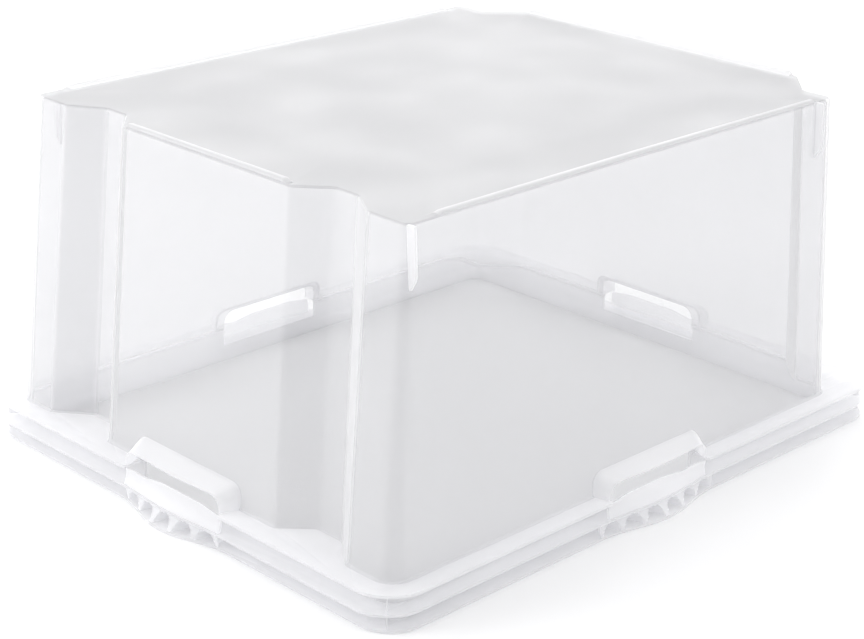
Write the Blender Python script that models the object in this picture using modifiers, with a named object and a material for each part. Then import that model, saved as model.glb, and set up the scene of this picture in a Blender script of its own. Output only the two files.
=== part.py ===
"""A turn-to-stack storage box of clear polypropylene, standing mouth down on its rim.

The box is one injection moulding. It is modelled here as its natural regions: a floor panel,
walls with stacking channels and posts, a collar with three rim flanges, and four hand grips.
+X runs along the long side, away from the end that has the two channels; +Z is up.
"""

import math

import bmesh
import bpy

MM = 0.001

# Driving dimensions, in millimetres.
GAP = 0.3                   # clearance between neighbouring regions
SKIN = 2.2                  # thickness of the walls and the floor panel
LEDGE_Z = 27.0              # top of the upper rim flange, where the walls begin
PANEL_Z = 260.0             # outer face of the floor panel
RIDGE_Z = 263.0             # top of the foot ridges
WALL_LOW_Z = LEDGE_Z + 0.5
WALL_HIGH_Z = PANEL_Z - SKIN - GAP
FLOOR_EDGE = ((SKIN, 0.0), (1.2, 0.0), (0.4, 0.4), (0.0, 1.3))  # the panel's edge as (depth, inset)

# Plan of the wall's outer face, as (at the ledge, at the floor panel).
NEAR_PANEL_X = (246.6, 227.7)
NEAR_POST_X = (246.8, 225.4)
CHANNEL_X = (226.0, 208.5)
CHANNEL_FLANK_Y = (92.0, 87.0)
CHANNEL_START_Y = (113.0, 108.0)
CHANNEL_END_Y = (137.0, 131.0)
NEAR_POST_Y = (163.0, 157.0)
SIDE_Y = (205.0, 193.4)
FAR_POST_X = (218.0, 207.0)
FAR_POST_Y = (174.0, 166.0)
FAR_PANEL_X = (244.6, 236.2)
FAR_PANEL_Y = (146.0, 139.0)
NEAR_CORNER_R = (16.0, 7.0)
FAR_CORNER_R = (15.0, 7.0)
CHANNEL_FLANK_R, CHANNEL_START_R, CHANNEL_END_R = 3.0, 7.0, 14.0
NEAR_POST_R, FAR_POST_R, FAR_PANEL_R = 7.0, 9.0, 5.0

# Where the wall is divided, measured from the feature beside it.
FROM_FLANK = 7.0            # end wall to channel, back from the channel's flank
FROM_POST = 6.0             # channel to corner post, past the post's first edge
FROM_CORNER = 26.0          # corner to side wall
FROM_FAR_PANEL = 9.0        # far corner to far end wall

# Rim: each flange as (bottom, top, half length, half width, corner radius, bulge short, bulge long).
FLANGE_UPPER = (25.0, 27.0, 263.8, 220.2, 31.0, 0.0, 0.0)
FLANGE_MIDDLE = (11.2, 13.0, 264.2, 218.6, 30.0, 3.4, 3.6)
FLANGE_LOWER = (0.0, 1.8, 262.0, 218.8, 27.0, 12.5, 9.3)
COLLAR_HALF_X, COLLAR_HALF_Y, COLLAR_R = 247.0, 205.4, 16.5
BULGE_REACH = 60.0          # half the length of a grip's bulge in the lower flanges

# Hand grips: half widths along the side, heights above the mouth, and depth outwards.
HOOD_BACK_HALF, HOOD_FRONT_HALF = 56.5, 52.0
HOOD_BACK_Z, HOOD_FRONT_Z = 45.0, 39.5
HOOD_SKIN = 2.0
HOOD_CLEAR = 1.3            # outer back edge to the wall: the inner edge leans towards it
HOOD_R = 9.0
SLOT_HALF, SLOT_FOOT_Z, SLOT_TOP_Z, SLOT_R = 49.5, 17.0, 42.8, 10.0
SLOT_DEPTHS = (-12.0, 8.0)  # how far the slot's cutter reaches, from the wall plane at the ledge
MOUTH_GAP_DEPTH = 5.0       # half the depth of the cutter that opens the collar behind a finger bar
NOTCH_HALF = 52.5
NOTCH_CLEAR = 0.7           # bottom of the upper flange's notch, out from the wall or the collar
FRONT_SETBACK = 2.6         # hood front and grip bar top, in from the upper flange's edge
BAR_SKIN = 2.4
BAR_LOW_Z, BAR_MID_Z, BAR_WAVE = 14.6, 25.4, 1.3
BAR_WAVE_LONG = 1.1         # length of the wave, in half widths of the bar
BAR_CLEAR = 0.5             # bar's end to the side of the notch
BAR_FOOT_BACK = 0.6         # bar's foot, in from the middle flange's edge
TOOTH_PITCH = 20.0
TEETH_SHORT, TEETH_LONG = 5, 6
TOOTH_SKIN = 1.6
TOOTH_LOW_Z, TOOTH_HIGH_Z = 2.1, 10.9
TOOTH_ROOT = 3.5            # inner apex of a tooth, out from the collar
TOOTH_TIP = 2.6             # outer apex of a tooth, in from the lower flange's edge

# Foot ridges on the floor panel, and the spacer ribs beside the corners.
RIDGE_WIDE = 5.0
RIDGE_INSET = 1.5
RIDGE_ROUND = 1.2
RIDGE_FROM_CORNER, RIDGE_FROM_CHANNEL, RIDGE_FROM_FAR_POST = 2.0, 3.0, 4.0
RIB_WIDE, RIB_PROUD, RIB_LOW_Z, RIB_RUNOUT = 2.0, 4.8, 216.0, 8.0
RIB_AT_CORNER = 1.6         # middle of a rib that lies flush with a corner, in from the post's face
RIB_INBOARD = 20.5          # middle of a rib that stands beside the corner diagonally opposite
RIB_TIP = 0.4               # thickness left at a rib's lower end

# How finely curves are divided.
ARC_STEPS = 5
BULGE_STEPS = 8             # either way from a grip's middle, along the lower flanges
BAR_STEPS = 12              # either way from a finger bar's middle
END_WALL_STEPS = 6

PLASTIC = (0.90, 0.90, 0.92, 1.0)
FROSTED = (0.86, 0.86, 0.89, 1.0)
SATIN_ROUGH, WALL_ROUGH, FROSTED_ROUGH = 0.3, 0.25, 0.5


def clear_scene():
    for old in list(bpy.data.objects):
        bpy.data.objects.remove(old, do_unlink=True)


def new_collection(name):
    made = bpy.data.collections.new(name)
    bpy.context.scene.collection.children.link(made)
    return made


def plastic_material(name, colour, roughness):
    material = bpy.data.materials.new(name)
    material.use_nodes = True
    shader = material.node_tree.nodes["Principled BSDF"]
    shader.inputs["Base Color"].default_value = colour
    shader.inputs["Roughness"].default_value = roughness
    shader.inputs["Metallic"].default_value = 0.0
    shader.inputs["IOR"].default_value = 1.49
    return material


def add_object(name, data, colour=PLASTIC, roughness=SATIN_ROUGH):
    made = bpy.data.objects.new(name, data)
    box.objects.link(made)
    data.materials.append(plastic_material(name, colour, roughness))
    return made


def between(pair, share):
    """The value a share of the way up from the ledge to the floor panel."""
    return pair[0] + (pair[1] - pair[0]) * share


def share_at(z):
    return (z - LEDGE_Z) / (PANEL_Z - LEDGE_Z)


def rounded(points):
    """The path through (x, y, radius) points, with an arc at each one that has a radius."""
    path = []
    for i, (x, y, radius) in enumerate(points):
        if radius == 0 or i in (0, len(points) - 1):
            path.append((x, y))
            continue
        before = math.atan2(points[i - 1][1] - y, points[i - 1][0] - x)
        after = math.atan2(points[i + 1][1] - y, points[i + 1][0] - x)
        turn = (after - before + math.pi) % (2 * math.pi) - math.pi
        middle = before + turn / 2
        reach = radius / abs(math.sin(turn / 2))
        centre = (x + reach * math.cos(middle), y + reach * math.sin(middle))
        sweep = math.copysign(math.pi - abs(turn), turn)
        for step in range(ARC_STEPS + 1):
            angle = middle + math.pi + sweep * (0.5 - step / ARC_STEPS)
            path.append((centre[0] + radius * math.cos(angle), centre[1] + radius * math.sin(angle)))
    return path


def half_plan(share):
    """Corner points (x, y, radius) of the outer wall on the +Y half, from the near end to the far end."""
    def at(pair):
        return between(pair, share)

    return [
        (-at(NEAR_PANEL_X), 0.0, 0),
        (-at(NEAR_PANEL_X), at(CHANNEL_FLANK_Y), CHANNEL_FLANK_R),
        (-at(CHANNEL_X), at(CHANNEL_START_Y), CHANNEL_START_R),
        (-at(CHANNEL_X), at(CHANNEL_END_Y), CHANNEL_END_R),
        (-at(NEAR_POST_X), at(NEAR_POST_Y), NEAR_POST_R),
        (-at(NEAR_POST_X), at(SIDE_Y), at(NEAR_CORNER_R)),
        (at(FAR_POST_X), at(SIDE_Y), at(FAR_CORNER_R)),
        (at(FAR_POST_X), at(FAR_POST_Y), FAR_POST_R),
        (at(FAR_PANEL_X), at(FAR_PANEL_Y), FAR_PANEL_R),
        (at(FAR_PANEL_X), 0.0, 0),
    ]


def mirrored(points):
    return [(x, -y) + tuple(rest) for x, y, *rest in reversed(points)]


def wall_outline(share):
    """The whole outer outline of the wall, anticlockwise from above."""
    half = rounded(half_plan(share))
    return mirrored(half)[:-1] + half[:-1]


def inset(loop, distance):
    """A closed anticlockwise or clockwise loop moved inwards by a distance."""
    area = sum(a[0] * b[1] - b[0] * a[1] for a, b in zip(loop, loop[1:] + loop[:1]))
    side = math.copysign(1.0, area)
    moved = []
    for before, here, after in zip(loop[-1:] + loop[:-1], loop, loop[1:] + loop[:1]):
        into = math.atan2(here[1] - before[1], here[0] - before[0])
        out = math.atan2(after[1] - here[1], after[0] - here[0])
        turn = (out - into + math.pi) % (2 * math.pi) - math.pi
        normal = into + turn / 2 + side * math.pi / 2
        reach = distance / math.cos(turn / 2)
        moved.append((here[0] + reach * math.cos(normal), here[1] + reach * math.sin(normal)))
    return moved


def mesh_from(name, rows, closed=False):
    """A surface through rows of (x, y, z) points in millimetres, all of one length."""
    grid = bmesh.new()
    made = [[grid.verts.new([c * MM for c in point]) for point in row] for row in rows]
    count = len(rows[0])
    for low, high in zip(made, made[1:]):
        for i in range(count if closed else count - 1):
            j = (i + 1) % count
            grid.faces.new((low[i], low[j], high[j], high[i]))
    mesh = bpy.data.meshes.new(name)
    grid.to_mesh(mesh)
    grid.free()
    return mesh


def shade_round(mesh):
    mesh.shade_smooth()
    mesh.set_sharp_from_angle(angle=math.radians(35))


def thicken(made, thickness, offset):
    """Solidify a surface; offset -1 grows it against its normals and +1 along them."""
    solid = made.modifiers.new("skin", "SOLIDIFY")
    solid.thickness = thickness * MM
    solid.offset = offset
    solid.use_even_offset = True
    solid.use_rim = True


def capped_mesh(name, rows):
    """A closed solid through closed rows of points, with a flat cap on the first and the last."""
    mesh = mesh_from(name, rows, closed=True)
    solid = bmesh.new()
    solid.from_mesh(mesh)
    solid.verts.ensure_lookup_table()
    count = len(rows[0])
    solid.faces.new(solid.verts[:count])
    solid.faces.new(solid.verts[-count:])
    bmesh.ops.recalc_face_normals(solid, faces=solid.faces)
    solid.to_mesh(mesh)
    solid.free()
    return mesh


def flat_plate(name, loops, low, high, colour=PLASTIC):
    """A flat plate from outlines: the first is its edge and the others are holes in it."""
    curve = bpy.data.curves.new(name, "CURVE")
    curve.dimensions = "2D"
    curve.fill_mode = "BOTH"
    curve.extrude = (high - low) / 2 * MM
    for loop in loops:
        spline = curve.splines.new("POLY")
        spline.points.add(len(loop) - 1)
        for point, (x, y) in zip(spline.points, loop):
            point.co = (x * MM, y * MM, 0.0, 1.0)
        spline.use_cyclic_u = True
    made = add_object(name, curve, colour)
    made.location.z = (low + high) / 2 * MM
    return made


# The four sides: outward direction, wall plane at ledge and panel, flange edge, middle flange's bulge.
SIDES = {
    "near": ((-1, 0), NEAR_PANEL_X, FLANGE_UPPER[2], FLANGE_MIDDLE[5]),
    "far": ((1, 0), FAR_PANEL_X, FLANGE_UPPER[2], FLANGE_MIDDLE[5]),
    "right": ((0, -1), SIDE_Y, FLANGE_UPPER[3], FLANGE_MIDDLE[6]),
    "left": ((0, 1), SIDE_Y, FLANGE_UPPER[3], FLANGE_MIDDLE[6]),
}


def on_side(side, along, outward, z):
    """A point at a distance along a side and outwards from the box's middle."""
    (ox, oy), *_ = SIDES[side]
    return (ox * outward - oy * along, oy * outward + ox * along, z)


def bulge(along, height):
    """How far a flange stands out beside a grip: one smooth swell."""
    if abs(along) >= BULGE_REACH:
        return 0.0
    return height * 0.5 * (1 + math.cos(math.pi * along / BULGE_REACH))


def rim_outline(half_x, half_y, radius, short_bulge, long_bulge, notch=None):
    """A rounded rectangle, anticlockwise, swelling at the four grips or notched there."""
    loop = []
    for side, across, reach, height in (
        ("far", half_y, half_x, short_bulge),
        ("left", half_x, half_y, long_bulge),
        ("near", half_y, half_x, short_bulge),
        ("right", half_x, half_y, long_bulge),
    ):
        if notch:
            floor = notch[side]
            steps = [(-NOTCH_HALF, reach), (-NOTCH_HALF, floor), (NOTCH_HALF, floor), (NOTCH_HALF, reach)]
            loop += [on_side(side, along, outward, 0)[:2] for along, outward in steps]
        elif height:
            for step in range(-BULGE_STEPS, BULGE_STEPS + 1):
                along = BULGE_REACH * step / BULGE_STEPS
                loop.append(on_side(side, along, reach + bulge(along, height), 0)[:2])
        for step in range(ARC_STEPS * 2 + 1):
            angle = math.pi / 2 * step / (ARC_STEPS * 2)
            along = across - radius + radius * math.sin(angle)
            outward = reach - radius + radius * math.cos(angle)
            loop.append(on_side(side, along, outward, 0)[:2])
    return loop


def make_floor_panel():
    """The floor, drawn in slightly at its outer edge where it turns into the walls."""
    edge = wall_outline(1.0)
    rows = [[(x, y, PANEL_Z - depth) for x, y in inset(edge, drawn_in)] for depth, drawn_in in FLOOR_EDGE]
    mesh = capped_mesh("floor_panel", rows)
    shade_round(mesh)
    add_object("floor_panel", mesh, FROSTED, FROSTED_ROUGH)


def cut_path(first, last, share, left_y):
    """The wall's path between two places, each (index of the corner before it, x, y)."""
    corners = half_plan(share)
    start, end = first(share), last(share)
    middle = corners[start[0] + 1:end[0] + 1]
    path = rounded([(start[1], start[2], 0)] + middle + [(end[1], end[2], 0)])
    return path if left_y else [(x, -y) for x, y in path]


def on_near_panel(gap):
    return lambda s: (0, -between(NEAR_PANEL_X, s), between(CHANNEL_FLANK_Y, s) - FROM_FLANK + gap)


def on_near_post(gap):
    return lambda s: (4, -between(NEAR_POST_X, s), between(NEAR_POST_Y, s) + FROM_POST + gap)


def on_near_side(gap):
    return lambda s: (5, -between(NEAR_POST_X, s) + FROM_CORNER + gap, between(SIDE_Y, s))


def on_far_side(gap):
    return lambda s: (5, between(FAR_POST_X, s) - FROM_CORNER + gap, between(SIDE_Y, s))


def on_far_panel(gap):
    return lambda s: (8, between(FAR_PANEL_X, s), between(FAR_PANEL_Y, s) - FROM_FAR_PANEL - gap)


def wall_piece(name, first, last, left_y=True):
    """One stretch of wall: a ruled surface from the ledge to the floor panel, thickened inwards."""
    rows = []
    for z in (WALL_LOW_Z, WALL_HIGH_Z):
        path = cut_path(first, last, share_at(z), left_y)
        rows.append([(x, y, z) for x, y in path])
    mesh = mesh_from(name, rows)
    shade_round(mesh)
    made = add_object(name, mesh, roughness=WALL_ROUGH)
    thicken(made, SKIN, 1.0 if left_y else -1.0)
    return made


def end_wall(name, reach, inward):
    """A flat end wall between its two neighbours."""
    rows = []
    for z in (WALL_LOW_Z, WALL_HIGH_Z):
        share = share_at(z)
        _, x, y = reach(share)
        rows.append([(x, -y + 2 * y * i / END_WALL_STEPS, z) for i in range(END_WALL_STEPS + 1)])
    mesh = mesh_from(name, rows)
    made = add_object(name, mesh, roughness=WALL_ROUGH)
    thicken(made, SKIN, inward)
    return made


def slot_cutter(side):
    """The hand hole's cutter: a rounded slot through the wall, open at its foot."""
    _, plane, _, _ = SIDES[side]
    outline = rounded([
        (-SLOT_HALF, SLOT_FOOT_Z, 0),
        (-SLOT_HALF, SLOT_TOP_Z, SLOT_R),
        (SLOT_HALF, SLOT_TOP_Z, SLOT_R),
        (SLOT_HALF, SLOT_FOOT_Z, 0),
    ])
    rows = [
        [on_side(side, along, plane[0] + depth, z) for along, z in outline]
        for depth in SLOT_DEPTHS
    ]
    return cutter_from(side + "_slot", rows)


def mouth_gap_cutter(side):
    """The collar's cutter: it clears the upper part of the collar behind a finger bar."""
    middle = COLLAR_HALF_X if side in ("near", "far") else COLLAR_HALF_Y
    corners = ((-SLOT_HALF, -1), (-SLOT_HALF, 1), (SLOT_HALF, 1), (SLOT_HALF, -1))
    rows = [
        [on_side(side, along, middle + MOUTH_GAP_DEPTH * way, z) for along, way in corners]
        for z in (FLANGE_MIDDLE[1] + GAP, LEDGE_Z)
    ]
    return cutter_from(side + "_mouth_gap", rows)


def cutter_from(name, rows):
    """A cutting solid, kept out of renders and out of the box's collection."""
    cutter = bpy.data.objects.new(name, capped_mesh(name, rows))
    cutters.objects.link(cutter)
    cutter.hide_render = True
    cutter.display_type = "WIRE"
    return cutter


def cut_away(made, cutter):
    cut = made.modifiers.new("opening", "BOOLEAN")
    cut.operation = "DIFFERENCE"
    cut.solver = "EXACT"
    cut.object = cutter


def make_walls():
    cut_away(end_wall("near_end_wall", on_near_panel(-GAP / 2), 1.0), slot_cutter("near"))
    cut_away(end_wall("far_end_wall", on_far_panel(GAP / 2), -1.0), slot_cutter("far"))
    for name, left_y in (("left", True), ("right", False)):
        wall_piece(f"near_{name}_channel", on_near_panel(GAP / 2), on_near_post(-GAP / 2), left_y)
        wall_piece(f"near_{name}_post", on_near_post(GAP / 2), on_near_side(-GAP / 2), left_y)
        side = wall_piece(f"{name}_side_wall", on_near_side(GAP / 2), on_far_side(-GAP / 2), left_y)
        cut_away(side, slot_cutter(name))
        wall_piece(f"far_{name}_corner", on_far_side(GAP / 2), on_far_panel(GAP / 2), left_y)


def make_collar(outline):
    """The upright wall at the mouth, lower behind the four finger bars."""
    rows = [[(x, y, z) for x, y in outline] for z in (0.0, FLANGE_UPPER[0] - GAP)]
    mesh = mesh_from("mouth_collar", rows, closed=True)
    shade_round(mesh)
    made = add_object("mouth_collar", mesh)
    thicken(made, SKIN, -1.0)
    for side in SIDES:
        cut_away(made, mouth_gap_cutter(side))


def make_rim():
    """The collar at the mouth and the three flanges around it."""
    collar = rim_outline(COLLAR_HALF_X, COLLAR_HALF_Y, COLLAR_R, 0, 0)
    make_collar(collar)
    notch = {}
    for side, (_, plane, _, _) in SIDES.items():
        collar_half = COLLAR_HALF_X if side in ("near", "far") else COLLAR_HALF_Y
        notch[side] = max(plane[0], collar_half) + NOTCH_CLEAR
    low, high, half_x, half_y, radius, *_ = FLANGE_UPPER
    edge = rim_outline(half_x, half_y, radius, 0, 0, notch)
    flat_plate("upper_flange", [edge, inset(wall_outline(0.0), SKIN)], low, high)
    around = inset(collar, -GAP)
    for name, flange in (("middle_flange", FLANGE_MIDDLE), ("lower_flange", FLANGE_LOWER)):
        low, high, *shape = flange
        flat_plate(name, [rim_outline(*shape), around], low, high)


def make_hood(side):
    """A short arched hood from the wall's hand hole out to the flange edge, open at both ends."""
    _, plane, edge, _ = SIDES[side]
    rows = []
    for half, top, front in (
        (HOOD_BACK_HALF, HOOD_BACK_Z, False),
        (HOOD_FRONT_HALF, HOOD_FRONT_Z, True),
    ):
        arch = rounded([
            (-half, LEDGE_Z + GAP, 0),
            (-half, top, HOOD_R),
            (half, top, HOOD_R),
            (half, LEDGE_Z + GAP, 0),
        ])
        row = []
        for along, z in arch:
            outward = edge - FRONT_SETBACK if front else between(plane, share_at(z)) + HOOD_CLEAR
            row.append(on_side(side, along, outward, z))
        rows.append(row)
    mesh = mesh_from(side + "_grip_hood", rows)
    shade_round(mesh)
    thicken(add_object(side + "_grip_hood", mesh), HOOD_SKIN, 1.0)


def make_grip_bar(side):
    """The finger bar under a hood: a curved plate with a waved upper edge."""
    _, _, edge, middle_bulge = SIDES[side]
    half = NOTCH_HALF - BAR_CLEAR
    middle_edge = FLANGE_MIDDLE[2] if side in ("near", "far") else FLANGE_MIDDLE[3]
    top, foot = [], []
    for step in range(-BAR_STEPS, BAR_STEPS + 1):
        along = half * step / BAR_STEPS
        wave = BAR_WAVE * math.cos(2 * math.pi * along / (half * BAR_WAVE_LONG))
        top.append(on_side(side, along, edge - FRONT_SETBACK, BAR_MID_Z + wave))
        outward = middle_edge + bulge(along, middle_bulge) - BAR_FOOT_BACK
        foot.append(on_side(side, along, outward, BAR_LOW_Z))
    mesh = mesh_from(side + "_grip_bar", [foot, top])
    shade_round(mesh)
    thicken(add_object(side + "_grip_bar", mesh), BAR_SKIN, -1.0)


def make_grip_teeth(side):
    """The zigzag stiffener between the two lower flanges, below the finger bar."""
    short = side in ("near", "far")
    collar = COLLAR_HALF_X if short else COLLAR_HALF_Y
    lower_edge = FLANGE_LOWER[2] if short else FLANGE_LOWER[3]
    lower_bulge = FLANGE_LOWER[5] if short else FLANGE_LOWER[6]
    teeth = TEETH_SHORT if short else TEETH_LONG
    path = []
    for step in range(-teeth, teeth + 1):
        along = TOOTH_PITCH / 2 * step
        root = (step + teeth) % 2 == 0
        outward = collar + TOOTH_ROOT if root else lower_edge + bulge(along, lower_bulge) - TOOTH_TIP
        path.append((along, outward))
    rows = [
        [on_side(side, along, outward, z) for along, outward in path]
        for z in (TOOTH_LOW_Z, TOOTH_HIGH_Z)
    ]
    thicken(add_object(side + "_grip_teeth", mesh_from(side + "_grip_teeth", rows)), TOOTH_SKIN, 0.0)


def bevelled_bar(name, x_range, y_range):
    """A foot ridge: a straight bar with rounded upper edges, resting on the floor panel."""
    mesh = bpy.data.meshes.new(name)
    bar = bmesh.new()
    bmesh.ops.create_cube(bar, size=MM)
    low, high = PANEL_Z + GAP, RIDGE_Z
    size = (x_range[1] - x_range[0], y_range[1] - y_range[0], high - low)
    bmesh.ops.scale(bar, vec=size, verts=bar.verts)
    bar.to_mesh(mesh)
    bar.free()
    made = add_object(name, mesh)
    made.location = (sum(x_range) / 2 * MM, sum(y_range) / 2 * MM, (low + high) / 2 * MM)
    edge = made.modifiers.new("round", "BEVEL")
    edge.width = RIDGE_ROUND * MM
    edge.segments = 2


def make_foot_ridges():
    """Four raised bars along the floor panel's straight edges, which the upright box stands on."""
    side_y = SIDE_Y[1] - RIDGE_INSET
    near_end = -NEAR_POST_X[1] + NEAR_CORNER_R[1] + RIDGE_FROM_CORNER
    along = (near_end, FAR_POST_X[1] - FAR_CORNER_R[1] - RIDGE_FROM_CORNER)
    bevelled_bar("left_foot_ridge", along, (side_y - RIDGE_WIDE, side_y))
    bevelled_bar("right_foot_ridge", along, (-side_y, -side_y + RIDGE_WIDE))
    near_x = -NEAR_PANEL_X[1] + RIDGE_INSET
    near_half = CHANNEL_FLANK_Y[1] - RIDGE_FROM_CHANNEL
    bevelled_bar("near_foot_ridge", (near_x, near_x + RIDGE_WIDE), (-near_half, near_half))
    far_x = FAR_PANEL_X[1] - RIDGE_INSET
    far_half = FAR_PANEL_Y[1] - RIDGE_FROM_FAR_POST
    bevelled_bar("far_foot_ridge", (far_x - RIDGE_WIDE, far_x), (-far_half, far_half))


def make_spacer_rib(name, x, left_y):
    """A thin fin on a side wall that keeps nested boxes apart, running out at its lower end."""
    def face(z):
        return between(SIDE_Y, share_at(z)) + GAP

    profile = [
        (face(PANEL_Z), PANEL_Z),
        (face(PANEL_Z) + RIB_PROUD - GAP, PANEL_Z),
        (face(RIB_LOW_Z + RIB_RUNOUT) + RIB_PROUD - GAP, RIB_LOW_Z + RIB_RUNOUT),
        (face(RIB_LOW_Z) + RIB_TIP, RIB_LOW_Z),
        (face(RIB_LOW_Z), RIB_LOW_Z),
    ]
    sign = 1 if left_y else -1
    rows = [[(x + half, sign * y, z) for y, z in profile] for half in (-RIB_WIDE / 2, RIB_WIDE / 2)]
    add_object(name, capped_mesh(name, rows))


clear_scene()
box = new_collection("turn_to_stack_box")
cutters = new_collection("cutters")
make_floor_panel()
make_walls()
make_rim()
for side_name in SIDES:
    make_hood(side_name)
    make_grip_bar(side_name)
    make_grip_teeth(side_name)
make_foot_ridges()
make_spacer_rib("near_right_spacer_rib", -NEAR_POST_X[1] + RIB_AT_CORNER, False)
make_spacer_rib("near_left_spacer_rib", -NEAR_POST_X[1] + RIB_INBOARD, True)
make_spacer_rib("far_left_spacer_rib", FAR_POST_X[1] - RIB_AT_CORNER, True)
make_spacer_rib("far_right_spacer_rib", FAR_POST_X[1] - RIB_INBOARD, False)
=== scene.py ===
"""Looks of a translucent turn-to-stack storage box that stands mouth down on its rim.

The box is one moulding of frosted polypropylene. The shell with its foot ridges, the mouth collar,
the rim's fins, the parts of each hand grip and the spacer ribs are closed meshes, and each of them
stands for the CAD regions that it covers.
Lengths are in millimetres until a mesh is made; +X runs along the long side and +Z is up.
"""

import math

import bmesh
import bpy
from mathutils import Matrix, Vector


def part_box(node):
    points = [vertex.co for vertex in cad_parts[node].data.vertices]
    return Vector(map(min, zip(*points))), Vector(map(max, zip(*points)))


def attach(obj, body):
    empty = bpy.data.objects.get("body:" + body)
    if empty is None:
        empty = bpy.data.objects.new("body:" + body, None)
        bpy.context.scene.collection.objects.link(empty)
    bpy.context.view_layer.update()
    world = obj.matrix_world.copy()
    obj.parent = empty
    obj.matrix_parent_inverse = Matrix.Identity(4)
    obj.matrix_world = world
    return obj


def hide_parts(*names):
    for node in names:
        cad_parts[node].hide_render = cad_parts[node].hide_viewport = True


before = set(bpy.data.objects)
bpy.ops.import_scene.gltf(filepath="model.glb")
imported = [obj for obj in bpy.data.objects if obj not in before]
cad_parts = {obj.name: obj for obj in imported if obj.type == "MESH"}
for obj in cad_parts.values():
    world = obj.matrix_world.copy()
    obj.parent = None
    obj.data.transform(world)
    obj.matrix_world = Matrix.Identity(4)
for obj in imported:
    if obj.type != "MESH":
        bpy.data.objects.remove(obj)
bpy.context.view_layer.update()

MM = 0.001


def cad(node, corner, axis):
    """One coordinate of a CAD node's box, in millimetres; corner 0 is the lowest and 1 the highest."""
    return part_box(node)[corner][axis] / MM


# Heights and outer edges that the frame gives.
LEDGE_Z = cad("upper_flange", 1, 2)
PANEL_Z = cad("floor_panel", 1, 2)
RIDGE_Z = cad("left_foot_ridge", 1, 2)
UPPER_HALF = (cad("upper_flange", 1, 0), cad("upper_flange", 1, 1))
COLLAR_HALF = (cad("mouth_collar", 1, 0), cad("mouth_collar", 1, 1))
MIDDLE_Z = (cad("middle_flange", 0, 2), cad("middle_flange", 1, 2))
LOWER_Z = (cad("lower_flange", 0, 2), cad("lower_flange", 1, 2))
UPPER_Z = (cad("upper_flange", 0, 2), LEDGE_Z)
NEAR_TOP_X, FAR_TOP_X = -cad("floor_panel", 0, 0), cad("floor_panel", 1, 0)
SIDE_TOP_Y = cad("floor_panel", 1, 1)

# Plan of the wall's outer face, as (at the ledge, at the floor panel).
SKIN = 2.2
NEAR_PANEL_X = (246.6, NEAR_TOP_X)
NEAR_POST_X = (246.8, 225.4)
CHANNEL_X = (226.0, 208.5)
CHANNEL_FLANK_Y = (92.0, 87.0)
CHANNEL_START_Y = (113.0, 108.0)
CHANNEL_END_Y = (137.0, 131.0)
NEAR_POST_Y = (163.0, 157.0)
SIDE_Y = (205.0, SIDE_TOP_Y)
FAR_POST_X = (218.0, 207.0)
FAR_POST_Y = (174.0, 166.0)
FAR_PANEL_X = (244.6, FAR_TOP_X)
FAR_PANEL_Y = (146.0, 139.0)
NEAR_CORNER_R = (16.0, 7.0)
FAR_CORNER_R = (15.0, 7.0)
CHANNEL_LIP_R, CHANNEL_START_R, CHANNEL_END_R = 3.0, 7.0, 10.0
NEAR_POST_R, FAR_POST_R, FAR_LIP_R = 7.0, 7.0, 5.0
LEAST_R = 1.2
ARC_STEPS = 8

# Rim fins: half length, half width, corner radius, swell at a short-side grip and at a long-side one.
MIDDLE_SHAPE = (264.2, 218.6, 30.0, 3.4, 3.6)
LOWER_SHAPE = (262.0, 218.8, 27.0, 12.5, 9.3)
UPPER_R, COLLAR_R = 31.0, 16.5
SWELL_REACH = 60.0
SWELL_STEPS, FIN_ARC_STEPS = 16, 16

# Hand grips.
HOOD_BACK_HALF, HOOD_FRONT_HALF = 56.5, 52.0
HOOD_BACK_Z, HOOD_FRONT_Z = 45.0, 39.5
HOOD_SKIN = 2.0
HOOD_R = 9.0
SLOT_HALF, SLOT_TOP_Z, SLOT_R = 49.5, 42.8, 10.0
NOTCH_HALF = 52.5
FRONT_SETBACK = 2.6
BAR_SKIN = 2.2
TOOTH_PITCH = 20.0
TOOTH_STEPS, TOOTH_LEVELS, TOOTH_SKIN = 20, 8, 1.3
POCKET_HALF, POCKET_TOP = 0.36, 0.9

SIDES = {
    "near": ((-1, 0), NEAR_PANEL_X, 0),
    "far": ((1, 0), FAR_PANEL_X, 0),
    "right": ((0, -1), SIDE_Y, 1),
    "left": ((0, 1), SIDE_Y, 1),
}


# ---------------------------------------------------------------- outlines

def between(pair, share):
    return pair[0] + (pair[1] - pair[0]) * share


def share_at(z):
    return (z - LEDGE_Z) / (PANEL_Z - LEDGE_Z)


def smooth(value):
    """0 below 0, 1 above 1, and an even curve between."""
    value = min(1.0, max(0.0, value))
    return value * value * (3 - 2 * value)


def rounded(points, steps=ARC_STEPS):
    """The path through (x, y, radius) points, with an arc at each one that has a radius."""
    path = []
    for i, (x, y, radius) in enumerate(points):
        if radius == 0 or i in (0, len(points) - 1):
            path.append((x, y))
            continue
        before = math.atan2(points[i - 1][1] - y, points[i - 1][0] - x)
        after = math.atan2(points[i + 1][1] - y, points[i + 1][0] - x)
        turn = (after - before + math.pi) % (2 * math.pi) - math.pi
        middle = before + turn / 2
        reach = radius / abs(math.sin(turn / 2))
        centre = (x + reach * math.cos(middle), y + reach * math.sin(middle))
        sweep = math.copysign(math.pi - abs(turn), turn)
        for step in range(steps + 1):
            angle = middle + math.pi + sweep * (0.5 - step / steps)
            path.append((centre[0] + radius * math.cos(angle), centre[1] + radius * math.sin(angle)))
    return path


def fill_in(path, counts):
    """The path with each run divided evenly into its own number of parts."""
    filled = []
    for (ax, ay), (bx, by), count in zip(path, path[1:], counts):
        filled += [(ax + (bx - ax) * i / count, ay + (by - ay) * i / count) for i in range(count)]
    return filled + path[-1:]


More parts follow.
